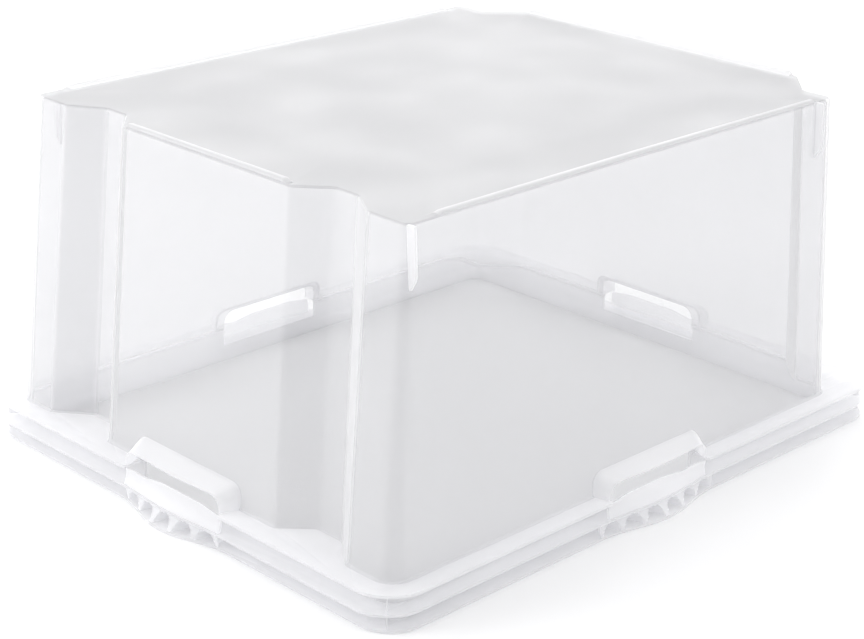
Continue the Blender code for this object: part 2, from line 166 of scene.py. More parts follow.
# Where the straight runs are divided, so the foot ridges can rise and fall near their ends.
END_STOPS = (0.5, 0.93, 0.945, 0.96, 0.975, 0.99)
SIDE_STOPS = (0.02, 0.028, 0.037, 0.046, 0.055, 0.5, 0.96, 0.967, 0.974, 0.98, 0.987)


def wall_plan(share, inset, divided=True):
    """The whole wall outline, anticlockwise, moved inwards by an inset."""
    def at(pair):
        return between(pair, share)

    def convex(radius):
        return max(radius - inset, LEAST_R)

    corners = [
        (-at(NEAR_PANEL_X) + inset, 0.0, 0),
        (-at(NEAR_PANEL_X) + inset, at(CHANNEL_FLANK_Y), convex(CHANNEL_LIP_R)),
        (-at(CHANNEL_X) + inset, at(CHANNEL_START_Y), CHANNEL_START_R + inset),
        (-at(CHANNEL_X) + inset, at(CHANNEL_END_Y), CHANNEL_END_R + inset),
        (-at(NEAR_POST_X) + inset, at(NEAR_POST_Y), convex(NEAR_POST_R)),
        (-at(NEAR_POST_X) + inset, at(SIDE_Y) - inset, convex(at(NEAR_CORNER_R))),
        (at(FAR_POST_X) - inset, at(SIDE_Y) - inset, convex(at(FAR_CORNER_R))),
        (at(FAR_POST_X) - inset, at(FAR_POST_Y), FAR_POST_R + inset),
        (at(FAR_PANEL_X) - inset, at(FAR_PANEL_Y), convex(FAR_LIP_R)),
        (at(FAR_PANEL_X) - inset, 0.0, 0),
    ]
    half = rounded(corners)
    if divided:
        post = 5 * (ARC_STEPS + 1)
        runs = [half[:1], spaced(half[0], half[1], END_STOPS), half[1:post + 1],
                spaced(half[post], half[post + 1], SIDE_STOPS), half[post + 1:-1],
                spaced(half[-1], half[-2], END_STOPS)[::-1], half[-1:]]
        half = [point for run in runs for point in run]
    return [(x, -y) for x, y in reversed(half)][:-1] + half[:-1]


def spaced(start, end, stops):
    """Points on a straight run, at stated shares of its length."""
    return [(between((start[0], end[0]), stop), between((start[1], end[1]), stop)) for stop in stops]


def on_side(side, along, outward, z):
    """A point at a distance along a side and outwards from the box's middle."""
    (ox, oy), *_ = SIDES[side]
    return (ox * outward - oy * along, oy * outward + ox * along, z)


def swell(along, height):
    """How far a fin stands out beside a grip."""
    if abs(along) >= SWELL_REACH:
        return 0.0
    return height * 0.5 * (1 + math.cos(math.pi * along / SWELL_REACH))


def fin_outline(half_x, half_y, radius, short_swell=0.0, long_swell=0.0, notch=None):
    """A rounded rectangle, anticlockwise, swelling at the four grips or notched there."""
    loop = []
    for side, across, reach, height in (
        ("far", half_y, half_x, short_swell),
        ("left", half_x, half_y, long_swell),
        ("near", half_y, half_x, short_swell),
        ("right", half_x, half_y, long_swell),
    ):
        if notch:
            inner = notch[side]
            steps = [(-NOTCH_HALF, reach), (-NOTCH_HALF, inner), (NOTCH_HALF, inner), (NOTCH_HALF, reach)]
            loop += [on_side(side, along, outward, 0)[:2] for along, outward in steps]
        elif height:
            for step in range(-SWELL_STEPS, SWELL_STEPS + 1):
                along = SWELL_REACH * step / SWELL_STEPS
                loop.append(on_side(side, along, reach + swell(along, height), 0)[:2])
        for step in range(FIN_ARC_STEPS + 1):
            angle = math.pi / 2 * step / FIN_ARC_STEPS
            along = across - radius + radius * math.sin(angle)
            outward = reach - radius + radius * math.cos(angle)
            loop.append(on_side(side, along, outward, 0)[:2])
    return loop


# ---------------------------------------------------------------- meshes

# Angles from which an edge is sharp, and from which it is rounded; segments in a rounding.
SHARP_DEG, SHELL_SHARP_DEG, ROUNDED_SHARP_DEG = 38, 40, 50
PLATE_ANGLE_DEG, SHEET_ANGLE_DEG, RIB_ANGLE_DEG = 60, 50, 40
ROUND_SEGMENTS = 2
WELD = 1e-6  # metres


def link(name, mesh):
    made = bpy.data.objects.new(name, mesh)
    bpy.context.scene.collection.objects.link(made)
    return made


def finish_mesh(solid, name, sharp_deg=SHARP_DEG):
    """The bmesh as an outward-facing object, shaded smooth except at real corners."""
    bmesh.ops.remove_doubles(solid, verts=solid.verts, dist=WELD)
    bmesh.ops.recalc_face_normals(solid, faces=solid.faces)
    mesh = bpy.data.meshes.new(name)
    solid.to_mesh(mesh)
    solid.free()
    mesh.shade_smooth()
    mesh.set_sharp_from_angle(angle=math.radians(sharp_deg))
    return link(name, mesh)


def add_bands(solid, rows):
    """Faces between each closed row of vertices and the next."""
    count = len(rows[0])
    for low, high in zip(rows, rows[1:]):
        for i in range(count):
            j = (i + 1) % count
            solid.faces.new((low[i], low[j], high[j], high[i]))


def loops_solid(name, loops):
    """A closed solid through closed loops of (x, y, z), capped at both ends."""
    solid = bmesh.new()
    rows = [[solid.verts.new([c * MM for c in point]) for point in loop] for loop in loops]
    add_bands(solid, rows)
    solid.faces.new(rows[0])
    solid.faces.new(rows[-1])
    return finish_mesh(solid, name)


def apply_modifiers(made):
    """The object's mesh with its modifiers applied."""
    depsgraph = bpy.context.evaluated_depsgraph_get()
    mesh = bpy.data.meshes.new_from_object(made.evaluated_get(depsgraph), depsgraph=depsgraph)
    made.modifiers.clear()
    made.data = mesh


def round_edges(made, width, angle_deg):
    """Rounds a mesh's edges that turn by more than an angle."""
    edge = made.modifiers.new("round", "BEVEL")
    edge.width = width * MM
    edge.segments = ROUND_SEGMENTS
    edge.limit_method = "ANGLE"
    edge.angle_limit = math.radians(angle_deg)
    edge.harden_normals = False
    apply_modifiers(made)
    made.data.shade_smooth()
    made.data.set_sharp_from_angle(angle=math.radians(ROUNDED_SHARP_DEG))


def plate(name, loops, low, high, edge, cutters=()):
    """A flat plate with softly rounded edges; the first loop is its edge and the others are holes."""
    curve = bpy.data.curves.new(name, "CURVE")
    curve.dimensions = "2D"
    curve.fill_mode = "BOTH"
    curve.extrude = (high - low) / 2 * MM
    for loop in loops:
        spline = curve.splines.new("POLY")
        spline.points.add(len(loop) - 1)
        for point, (x, y) in zip(spline.points, loop):
            point.co = (x * MM, y * MM, 0.0, 1.0)
        spline.use_cyclic_u = True
    drawn = link(name + "_curve", curve)
    depsgraph = bpy.context.evaluated_depsgraph_get()
    mesh = bpy.data.meshes.new_from_object(drawn.evaluated_get(depsgraph))
    bpy.data.objects.remove(drawn)
    solid = bmesh.new()
    solid.from_mesh(mesh)
    bmesh.ops.translate(solid, vec=(0, 0, (low + high) / 2 * MM), verts=solid.verts)
    made = finish_mesh(solid, name)
    cut_all(made, cutters)
    round_edges(made, edge, PLATE_ANGLE_DEG)
    return made


def joined(name, pieces):
    """Several closed meshes as one piece."""
    solid = bmesh.new()
    for piece in pieces:
        solid.from_mesh(piece.data)
        bpy.data.objects.remove(piece)
    return finish_mesh(solid, name)


# ---------------------------------------------------------------- shell

EDGE_RISE = RIDGE_Z - PANEL_Z
PLATEAU_INSET, PLATEAU_RISE, PLATEAU_POWER = 55.0, 0.25, 10.0
PLATEAU_STEPS = ((-9.0, 0.0), (-4.5, 0.16), (0.0, 0.5), (4.5, 0.84), (9.0, 1.0))  # (inwards, share risen)

# The shell's rows of points. The outside foot is (height, inset), where it flares into the ledge.
SHELL_FOOT = ((26.8, -1.7), (27.4, -1.3), (28.1, -0.6), (29.2, -0.15), (31.0, 0.0))
WALL_ROWS = (62.0, 96.0, 130.0, 164.0, 198.0, 226.0, 246.0)
OUTER_TOP_Z = 255.0
OUTER_R, INNER_R = 1.8, 2.0
OUTER_STEPS, INNER_STEPS = 5, 3
RIDGE_FALL = ((3.6, 1.0), (5.2, 0.86), (6.2, 0.45), (7.0, 0.1))  # (inset, share of the ridge's rise)
PANEL_INSET = 8.2


# Foot ridges: how far each runs, over what length its end rises, and the strip it stands on.
SIDE_RIDGE_NEAR_X, SIDE_RIDGE_NEAR_RISE = 205.0, 14.0
SIDE_RIDGE_FAR_X, SIDE_RIDGE_FAR_RISE = 190.0, 10.0
NEAR_RIDGE_HALF, NEAR_RIDGE_RISE = 86.0, 5.0
FAR_RIDGE_HALF, FAR_RIDGE_RISE = 136.5, 4.0
RIDGE_STRIP, RIDGE_STRIP_RISE = 12.0, 3.0


def ridge_share(x, y):
    """1 along the four foot ridges, 0 at the corners and the channels."""
    def strip(outward, edge):
        return smooth((outward - (edge - RIDGE_STRIP)) / RIDGE_STRIP_RISE)

    near_end = smooth((x + SIDE_RIDGE_NEAR_X) / SIDE_RIDGE_NEAR_RISE)
    far_end = smooth((SIDE_RIDGE_FAR_X - x) / SIDE_RIDGE_FAR_RISE)
    side = near_end * far_end * strip(abs(y), SIDE_TOP_Y)
    near = smooth((NEAR_RIDGE_HALF - abs(y)) / NEAR_RIDGE_RISE) * strip(-x, NEAR_TOP_X)
    far = smooth((FAR_RIDGE_HALF - abs(y)) / FAR_RIDGE_RISE) * strip(x, FAR_TOP_X)
    return max(side, near, far)


def plateau_loop(inwards, z, outline):
    """Points on a rounded rectangle, one on the ray to each outline point from the panel's middle."""
    centre_x = (FAR_TOP_X - NEAR_TOP_X) / 2
    half_x = (FAR_TOP_X + NEAR_TOP_X) / 2 - PLATEAU_INSET - inwards
    half_y = SIDE_TOP_Y - PLATEAU_INSET - inwards
    loop = []
    for x, y in outline:
        dx = x - centre_x
        total = abs(dx / half_x) ** PLATEAU_POWER + abs(y / half_y) ** PLATEAU_POWER
        reach = total ** (-1 / PLATEAU_POWER)
        loop.append((centre_x + dx * reach, y * reach, z))
    return loop


def cut_all(made, cutters):
    """Takes each cutter out of a solid and removes the cutter."""
    for cutter in cutters:
        cut = made.modifiers.new("opening", "BOOLEAN")
        cut.operation = "DIFFERENCE"
        cut.solver = "EXACT"
        cut.object = cutter
        apply_modifiers(made)
        bpy.data.objects.remove(cutter)
    made.data.shade_smooth()
    made.data.set_sharp_from_angle(angle=math.radians(SHELL_SHARP_DEG))


# How far the cutting shapes reach past what they cut.
GAP_INWARD, GAP_OUTWARD = 3.0, 6.0
GAP_ABOVE_MIDDLE, GAP_ABOVE_LEDGE = 0.4, 3.0
SLOT_BELOW_LEDGE = 10
SLOT_DEPTHS = (-14.0, 9.0)


def grip_gap(side):
    """The block of space behind a finger bar, where the mouth's wall and ledge stop."""
    _, plane, axis = SIDES[side]
    inner, outer = plane[0] - SKIN - GAP_INWARD, max(plane[0], COLLAR_HALF[axis]) + GAP_OUTWARD
    corners = [(-SLOT_HALF, inner), (-SLOT_HALF, outer), (SLOT_HALF, outer), (SLOT_HALF, inner)]
    return loops_solid(side + "_gap", [
        [on_side(side, along, outward, z) for along, outward in corners]
        for z in (MIDDLE_Z[1] + GAP_ABOVE_MIDDLE, LEDGE_Z + GAP_ABOVE_LEDGE)
    ])


def slot_cutter(side):
    """The hand hole: a rounded slot through the wall, open at its foot."""
    _, plane, _ = SIDES[side]
    outline = rounded([
        (-SLOT_HALF, LEDGE_Z - SLOT_BELOW_LEDGE, 0),
        (-SLOT_HALF, SLOT_TOP_Z, SLOT_R),
        (SLOT_HALF, SLOT_TOP_Z, SLOT_R),
        (SLOT_HALF, LEDGE_Z - SLOT_BELOW_LEDGE, 0),
    ])
    loops = [
        [on_side(side, along, plane[0] + depth, z) for along, z in outline]
        for depth in SLOT_DEPTHS
    ]
    return loops_solid(side + "_slot", loops)


def wall_row(z, inset, rise=0.0):
    """One closed row of points on the wall, lifted where the foot ridges stand."""
    outline = wall_plan(share_at(min(z, PANEL_Z)), inset)
    return [(x, y, z + rise * ridge_share(x, y)) for x, y in outline]


def outside_rows():
    """The shell's outer face: up the wall, over its edge and the foot ridges, onto the panel."""
    rows = [wall_row(z, inset) for z, inset in SHELL_FOOT]
    rows += [wall_row(z, 0.0) for z in WALL_ROWS + (OUTER_TOP_Z,)]
    for step in range(OUTER_STEPS + 1):
        angle = math.pi / 2 * step / OUTER_STEPS
        z = PANEL_Z - OUTER_R + OUTER_R * math.sin(angle)
        rows.append(wall_row(z, OUTER_R - OUTER_R * math.cos(angle), EDGE_RISE))
    rows += [wall_row(PANEL_Z, inset, EDGE_RISE * rise) for inset, rise in RIDGE_FALL]
    rows.append(wall_row(PANEL_Z, PANEL_INSET))
    outline = wall_plan(1.0, PANEL_INSET)
    rows += [
        plateau_loop(inwards, PANEL_Z + PLATEAU_RISE * rise, outline)
        for inwards, rise in PLATEAU_STEPS
    ]
    return rows


def inside_rows():
    """The shell's inner face: from the panel's middle round the corner and down the wall."""
    floor_z = PANEL_Z - SKIN
    rows = [plateau_loop(0.0, floor_z, wall_plan(1.0, PANEL_INSET))]
    for step in range(INNER_STEPS + 1):
        angle = math.pi / 2 * (1 - step / INNER_STEPS)
        z = floor_z - INNER_R + INNER_R * math.sin(angle)
        rows.append(wall_row(z, SKIN + INNER_R - INNER_R * math.cos(angle)))
    lowest, highest = SHELL_FOOT[0][0], SHELL_FOOT[-1][0]
    rows += [wall_row(z, SKIN) for z in WALL_ROWS[::-1] + (highest, lowest)]
    return rows


def make_shell():
    """Floor panel and walls in one: outside face up and over, then the inside face back down."""
    solid = bmesh.new()
    rows, inner = (
        [[solid.verts.new([c * MM for c in point]) for point in row] for row in face]
        for face in (outside_rows(), inside_rows())
    )
    for group in (rows, inner, [inner[-1], rows[0]]):
        add_bands(solid, group)
    solid.faces.new(rows[-1])
    solid.faces.new(inner[0])
    shell = finish_mesh(solid, "box_shell", SHELL_SHARP_DEG)
    cut_all(shell, [slot_cutter(side) for side in SIDES])
    return shell


# ---------------------------------------------------------------- rim

WEB_RUN, WEB_HALF_SKIN, WEB_SETBACK = 10.6, 0.3, 1.0
LAP = 0.1  # how far one piece runs into the next
JOINT_LAP = 0.15
NOTCH_SETBACK = 0.7
COLLAR_EDGE, UPPER_EDGE, FIN_EDGE = 0.5, 0.7, 0.6


def corner_web(sign_x, sign_y, low, high):
    """A thin upright web between two fins, on the diagonal of one corner."""
    half_x, half_y, radius = MIDDLE_SHAPE[:3]
    bend = 1 - math.sqrt(0.5)
    outer = Vector((half_x - radius * bend, half_y - radius * bend))
    outer -= Vector((WEB_SETBACK, WEB_SETBACK))
    inner = outer - Vector((WEB_RUN, WEB_RUN))
    across = Vector((-sign_y, sign_x)).normalized() * WEB_HALF_SKIN
    loops = []
    for z in (low, high):
        loop = []
        for point, side in ((inner, 1), (outer, 1), (outer, -1), (inner, -1)):
            at = Vector((sign_x * point.x, sign_y * point.y)) + across * side
            loop.append((at.x, at.y, z))
        loops.append(loop)
    return loops_solid("web", loops)


def make_rim():
    """The collar at the mouth and its three fins, as four pieces."""
    collar = fin_outline(*COLLAR_HALF, COLLAR_R)
    inner = fin_outline(COLLAR_HALF[0] - SKIN, COLLAR_HALF[1] - SKIN, COLLAR_R - SKIN)
    joint = fin_outline(COLLAR_HALF[0] - JOINT_LAP, COLLAR_HALF[1] - JOINT_LAP, COLLAR_R - JOINT_LAP)
    notch = {
        side: max(plane[0], COLLAR_HALF[axis]) + NOTCH_SETBACK
        for side, (_, plane, axis) in SIDES.items()
    }
    webs = [
        corner_web(sx, sy, low, high)
        for sx in (-1, 1) for sy in (-1, 1)
        for low, high in (
            (LOWER_Z[1] - LAP, MIDDLE_Z[0] + LAP),
            (MIDDLE_Z[1] - LAP, UPPER_Z[0] + LAP),
        )
    ]
    gaps = [grip_gap(side) for side in SIDES]
    wall = plate("mouth_collar_wall", [collar, inner], 0.0, UPPER_Z[0] + LAP, COLLAR_EDGE, gaps)
    yield joined("mouth_collar_form", [wall] + webs), "mouth_collar"
    edge = fin_outline(*UPPER_HALF, UPPER_R, notch=notch)
    hole = wall_plan(0.0, SKIN, divided=False)
    gaps = [grip_gap(side) for side in SIDES]
    yield plate("upper_flange_form", [edge, hole], *UPPER_Z, UPPER_EDGE, gaps), "upper_flange"
    for name, shape, heights in (
        ("middle_flange", MIDDLE_SHAPE, MIDDLE_Z),
        ("lower_flange", LOWER_SHAPE, LOWER_Z),
    ):
        yield plate(name + "_form", [fin_outline(*shape), joint], *heights, FIN_EDGE), name


# ---------------------------------------------------------------- hand grips

SHEET_EDGE, TEETH_EDGE = 0.35, 0.15


def two_skins(name, outer, inner, rounding=SHEET_EDGE):
    """A closed sheet between two grids of points, with softly rounded rims."""
    solid = bmesh.new()
    skins = [
        [[solid.verts.new([c * MM for c in point]) for point in row] for row in grid]
        for grid in (outer, inner)
    ]
    last, end = len(outer) - 1, len(outer[0]) - 1
    for grid in skins:
        for low, high in zip(grid, grid[1:]):
            for i in range(end):
                solid.faces.new((low[i], low[i + 1], high[i + 1], high[i]))
    face, back = skins
    for row in (0, last):
        for i in range(end):
            solid.faces.new((face[row][i], face[row][i + 1], back[row][i + 1], back[row][i]))
    for i in (0, end):
        for row in range(last):
            solid.faces.new((face[row][i], face[row + 1][i], back[row + 1][i], back[row][i]))
    made = finish_mesh(solid, name)
    round_edges(made, rounding, SHEET_ANGLE_DEG)
    return made


HOOD_ROWS, HOOD_LEG_PARTS, HOOD_TOP_PARTS = 8, 3, 8
HOOD_FRONT_SKIN = 1.1
HOOD_FOOT, HOOD_BACK_LAP = 0.2, 0.6
HOOD_DIP, HOOD_DIP_RISE = 1.7, 8.0


def hood_arch(half, top, radius):
    """The hood's arch in (along, height), standing just inside the ledge."""
    foot = LEDGE_Z - HOOD_FOOT
    arch = rounded([(-half, foot, 0), (-half, top, radius), (half, top, radius), (half, foot, 0)])
    leg, bend = [HOOD_LEG_PARTS], [1] * ARC_STEPS
    return fill_in(arch, leg + bend + [HOOD_TOP_PARTS] + bend + leg)


def make_hood(side):
    """The arched scoop over a hand hole, from the wall out to the rim's edge."""
    _, plane, axis = SIDES[side]
    front_out = UPPER_HALF[axis] - FRONT_SETBACK
    grids = []
    for is_inner in (0, 1):
        rows = []
        for step in range(HOOD_ROWS + 1):
            t = step / HOOD_ROWS
            skin = is_inner * (HOOD_SKIN + (HOOD_FRONT_SKIN - HOOD_SKIN) * t)
            half = HOOD_BACK_HALF + (HOOD_FRONT_HALF - HOOD_BACK_HALF) * smooth(t)
            top = HOOD_BACK_Z + (HOOD_FRONT_Z - HOOD_BACK_Z) * t
            row = []
            for along, z in hood_arch(half - skin, top - skin, HOOD_R - skin):
                lift = smooth((z - LEDGE_Z) / HOOD_DIP_RISE)
                z -= HOOD_DIP * t * lift * math.cos(math.pi * along / (2 * half)) ** 2
                back_out = between(plane, share_at(z)) - HOOD_BACK_LAP
                row.append(on_side(side, along, back_out + (front_out - back_out) * t, z))
            rows.append(row)
        grids.append(rows)
    return two_skins(side + "_grip_hood_form", *grids)


# Where the bar's upper edge dips, along each side.
BAR_DIP_AT = {"near": -33.0, "far": -33.0, "right": 27.0, "left": 27.0}
BAR_HIGH_Z, BAR_DIP, BAR_DIP_WIDE, BAR_END_DROP = 27.3, 2.6, 13.0, 2.4
BAR_END_AT, BAR_END_RUN = 30.0, 22.0
BAR_LEVELS, BAR_STEPS = 8, 20
BAR_CLEAR, BAR_FOOT_SETBACK, BAR_HOLLOW, BAR_THINNING = 0.1, 0.9, 1.3, 0.9


def bar_top(side, along):
    """Height of the finger bar's upper edge."""
    dip_at = BAR_DIP_AT[side]
    dip = BAR_DIP * math.exp(-((along - dip_at) / BAR_DIP_WIDE) ** 2)
    end = smooth((abs(along) - BAR_END_AT) / BAR_END_RUN)
    return BAR_HIGH_Z - dip * (1 - end) - BAR_END_DROP * end


def make_grip_bar(side):
    """The finger bar: a hollow-curved sheet from the opening's lower edge down to the middle fin."""
    _, _, axis = SIDES[side]
    half = NOTCH_HALF - BAR_CLEAR
    top_out = UPPER_HALF[axis] - FRONT_SETBACK
    grids = []
    for is_inner in (0, 1):
        rows = []
        for level in range(BAR_LEVELS + 1):
            t = level / BAR_LEVELS
            skin = is_inner * (BAR_SKIN - BAR_THINNING * t)
            row = []
            for step in range(-BAR_STEPS, BAR_STEPS + 1):
                along = half * step / BAR_STEPS
                foot_out = MIDDLE_SHAPE[axis] + swell(along, MIDDLE_SHAPE[3 + axis]) - BAR_FOOT_SETBACK
                hollow = BAR_HOLLOW * math.sin(math.pi * t)
                outward = foot_out + (top_out - foot_out) * t - hollow - skin
                z = MIDDLE_Z[1] - LAP + (bar_top(side, along) - MIDDLE_Z[1]) * t
                row.append(on_side(side, along, outward, z))
            rows.append(row)
        grids.append(rows)
    return two_skins(side + "_grip_bar_form", *grids)


SHORT_POCKETS, LONG_POCKETS = 5, 6
LOWER_TIP_SETBACK, UPPER_TIP_SETBACK = 1.2, 1.0
POCKET_BACK = 3.5  # from the collar to a pocket's bottom
ARCH_POWER = 2.5


def pocket_depth(t, step):
    """A pocket's depth, as a share of its full depth, at a share of the web's height."""
    half = POCKET_HALF * math.sqrt(1 - min(1.0, t / POCKET_TOP) ** ARCH_POWER)
    off = abs((step % TOOTH_STEPS) / TOOTH_STEPS - 0.5)
    return math.sqrt(1 - (off / half) ** 2) if off < half else 0.0


def make_grip_teeth(side):
    """The web between the two lower fins, with a row of arch-topped pockets pressed into it."""
    _, _, axis = SIDES[side]
    pockets = SHORT_POCKETS if axis == 0 else LONG_POCKETS
    reach = TOOTH_PITCH * pockets / 2
    low, high = LOWER_Z[1] - LAP, MIDDLE_Z[0] + LAP
    grids = []
    for skin in (0.0, TOOTH_SKIN):
        rows = []
        for level in range(TOOTH_LEVELS + 1):
            t = level / TOOTH_LEVELS
            row = []
            for step in range(pockets * TOOTH_STEPS + 1):
                along = -reach + TOOTH_PITCH * step / TOOTH_STEPS
                lower_tip = LOWER_SHAPE[axis] + swell(along, LOWER_SHAPE[3 + axis]) - LOWER_TIP_SETBACK
                upper_tip = MIDDLE_SHAPE[axis] + swell(along, MIDDLE_SHAPE[3 + axis]) - UPPER_TIP_SETBACK
                tip = lower_tip + (upper_tip - lower_tip) * t
                depth = (tip - COLLAR_HALF[axis] - POCKET_BACK) * pocket_depth(t, step)
                row.append(on_side(side, along, tip - depth - skin, low + (high - low) * t))
            rows.append(row)
        grids.append(rows)
    return two_skins(side + "_grip_teeth_form", *grids, TEETH_EDGE)


# ---------------------------------------------------------------- ribs

RIB_WIDE, RIB_EDGE = 2.0, 0.35
RIB_TOP_SLOPE, RIB_SHOULDER = 0.4, 0.8
RIB_RUNOUT, RIB_TIP_RISE, RIB_FOOT_RISE = 8.0, 3.0, 2.0
RIB_TOP_ROOT, RIB_FOOT_ROOT = (-1.8, 0.5), (-0.3, -1.6)  # from the wall's outer face
RIB_TOP_TIP = (-1.9, -1.3)  # from the fin's proudest line
RIB_TIP_BREAK = 0.6


def make_rib(name):
    """A thin fin on a side wall, tapering to nothing at its lower end."""
    low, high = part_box(name)
    middle = (low.x + high.x) / 2 / MM
    sign = 1 if low.y > 0 else -1
    proud = max(abs(low.y), abs(high.y)) / MM
    foot_z, top_z = low.z / MM, high.z / MM
    tip_z = foot_z + RIB_RUNOUT
    top_wall, foot_wall = (between(SIDE_Y, share_at(z)) for z in (top_z, foot_z))
    profile = [
        (top_wall + RIB_TOP_ROOT[0], top_z - RIB_TOP_SLOPE),
        (top_wall + RIB_TOP_ROOT[1], top_z),
        (proud + RIB_TOP_TIP[0], top_z),
        (proud + RIB_TOP_TIP[1], top_z - RIB_SHOULDER),
        (proud, tip_z + RIB_TIP_RISE),
        (proud - RIB_SHOULDER, tip_z + RIB_TIP_BREAK),
        (foot_wall + RIB_FOOT_ROOT[0], foot_z + RIB_FOOT_RISE),
        (foot_wall + RIB_FOOT_ROOT[1], foot_z + RIB_TIP_RISE),
    ]
    loops = [
        [(middle + half, sign * y, z) for y, z in profile]
        for half in (-RIB_WIDE / 2, RIB_WIDE / 2)
    ]
    rib = loops_solid(name + "_form", loops)
    round_edges(rib, RIB_EDGE, RIB_ANGLE_DEG)
    return rib


# ---------------------------------------------------------------- materials

def node(tree, kind, x, y, **values):
    made = tree.nodes.new(kind)
    made.location = (x, y)
    for key, value in values.items():
        made.inputs[key].default_value = value
    return made


CLEAR = (0.95, 0.95, 0.955)
WHITE = (1.0, 1.0, 1.0, 1.0)
TURNED = 0.48  # how far a face has turned away where the middle density holds
CLOUD_SCALE, FLOW_SCALE = 7.0, 16.0
NOISE_RANGE = (0.3, 0.7)
CLOUDING, ROUGH_SPREAD = (0.97, 1.03), (0.8, 1.25)
DULL, DULL_AT, CLEAN_AT = 0.98, 0.2, 0.8
GLOSS, SHEEN = 0.6, 0.05


def frosted_plastic(name, milk, density, roughness, grain, bump_mm, passing, painted_glow=0.0):
    """Milky polypropylene: part clear, part scattering, denser at a glancing angle, with a satin gloss.

    The density is for a face seen square on, turned part of the way, and seen along its surface.
    Grain is the frost's fineness, passing the share of scattered light that goes through, and the glow
    painted light that the plastic gives off though it is no lamp.
    """
    material = bpy.data.materials.new(name)
    material.use_nodes = True
    tree = material.node_tree
    tree.nodes.clear()
    link_up = tree.links.new
    place = node(tree, "ShaderNodeTexCoord", -1400, 0)
    cloud = node(tree, "ShaderNodeTexNoise", -1200, 200, Scale=CLOUD_SCALE, Detail=0.0, Roughness=0.5)
    flow = node(tree, "ShaderNodeTexNoise", -1200, -50, Scale=FLOW_SCALE, Detail=1.0, Roughness=0.4)
    frost = node(tree, "ShaderNodeTexNoise", -1200, -300, Scale=grain, Detail=1.0, Roughness=0.5)
    for texture in (cloud, flow, frost):
        link_up(place.outputs["Object"], texture.inputs["Vector"])

    angle = node(tree, "ShaderNodeLayerWeight", -1200, 450, Blend=0.5)
    curve = node(tree, "ShaderNodeValToRGB", -950, 450)
    stops = curve.color_ramp.elements
    stops.new(TURNED)
    for stop, at, amount in zip(stops, (0.0, TURNED, 1.0), density):
        stop.position = at
        stop.color = (amount, amount, amount, 1.0)
    link_up(angle.outputs["Facing"], curve.inputs["Fac"])
    vary = spread(tree, cloud.outputs["Fac"], CLOUDING, 200)
    opacity = node(tree, "ShaderNodeMath", -700, 400)
    opacity.operation = "MULTIPLY"
    opacity.use_clamp = True
    link_up(curve.outputs["Color"], opacity.inputs[0])
    link_up(vary, opacity.inputs[1])
    rough = spread(tree, flow.outputs["Fac"], [roughness * share for share in ROUGH_SPREAD], -150)
    colours = node(tree, "ShaderNodeValToRGB", -700, 50)
    dull, clean = colours.color_ramp.elements
    dull.position, clean.position = DULL_AT, CLEAN_AT
    dull.color = (*[channel * DULL for channel in milk], 1.0)
    clean.color = (*milk, 1.0)
    link_up(flow.outputs["Fac"], colours.inputs["Fac"])
    bump = node(tree, "ShaderNodeBump", -700, -350, Strength=1.0, Distance=bump_mm * MM)
    link_up(frost.outputs["Fac"], bump.inputs["Height"])

    skin = node(tree, "ShaderNodeBsdfPrincipled", -450, 200)
    skin.inputs["Specular IOR Level"].default_value = GLOSS
    skin.inputs["Sheen Weight"].default_value = SHEEN
    # Painted glow: the plastic gives off light of its own, though it is no lamp, to lighten parts as
    # painted light.
    skin.inputs["Emission Color"].default_value = WHITE
    skin.inputs["Emission Strength"].default_value = painted_glow
    link_up(colours.outputs["Color"], skin.inputs["Base Color"])
    link_up(rough, skin.inputs["Roughness"])
    link_up(bump.outputs["Normal"], skin.inputs["Normal"])
    through = node(tree, "ShaderNodeBsdfTranslucent", -450, -300)
    link_up(colours.outputs["Color"], through.inputs["Color"])
    window = node(tree, "ShaderNodeBsdfTransparent", -150, 350, Color=(*CLEAR, 1.0))
    body = node(tree, "ShaderNodeMixShader", -150, 100, Fac=passing)
    link_up(skin.outputs[0], body.inputs[1])
    link_up(through.outputs[0], body.inputs[2])
    surface = node(tree, "ShaderNodeMixShader", 50, 200)
    link_up(opacity.outputs[0], surface.inputs[0])
    link_up(window.outputs[0], surface.inputs[1])
    link_up(body.outputs[0], surface.inputs[2])
    out = node(tree, "ShaderNodeOutputMaterial", 250, 200)
    link_up(surface.outputs[0], out.inputs["Surface"])
    return material


def spread(tree, noise, target, y):
    """A noise's usual range mapped to another range."""
    mapped = node(tree, "ShaderNodeMapRange", -950, y)
    for key, number in zip(("From Min", "From Max", "To Min", "To Max"), (*NOISE_RANGE, *target)):
        mapped.inputs[key].default_value = number
    tree.links.new(noise, mapped.inputs["Value"])
    return mapped.outputs["Result"]


# Colours of the scattered light. MILK is the plastic's own; the others are lighter and darker copies of
# it that paint light and shade onto parts of the one moulding.
MILK = (0.83, 0.83, 0.835)
SHADED_PANEL_MILK = (0.565, 0.565, 0.575)
PAINTED_LIGHT_MILK = (0.94, 0.94, 0.95)
SHADED_RIDGE_MILK = (0.74, 0.74, 0.75)
FLANK_SHADING_MILK = (0.8, 0.8, 0.81)
PAINTED_HIGHLIGHT_MILK = (0.88, 0.88, 0.89)

# Surfaces as (roughness, grain, bump depth in millimetres).
SATIN = (0.36, 260.0, 0.004)
SMOOTH = (0.36, 260.0, 0.003)
MATT = (0.45, 420.0, 0.015)

WALL = frosted_plastic("satin_wall", MILK, (0.19, 0.24, 0.97), *SATIN, passing=0.27)
# Painted shade: the floor panel gets a much darker copy of the wall's milk, which dims the top-lit panel
# and deepens the shadow seen inside the box; its matt grain is the panel's own.
PANEL = frosted_plastic("frosted_panel_painted_shade", SHADED_PANEL_MILK, (0.5, 0.6, 0.85), *MATT, passing=0.2)
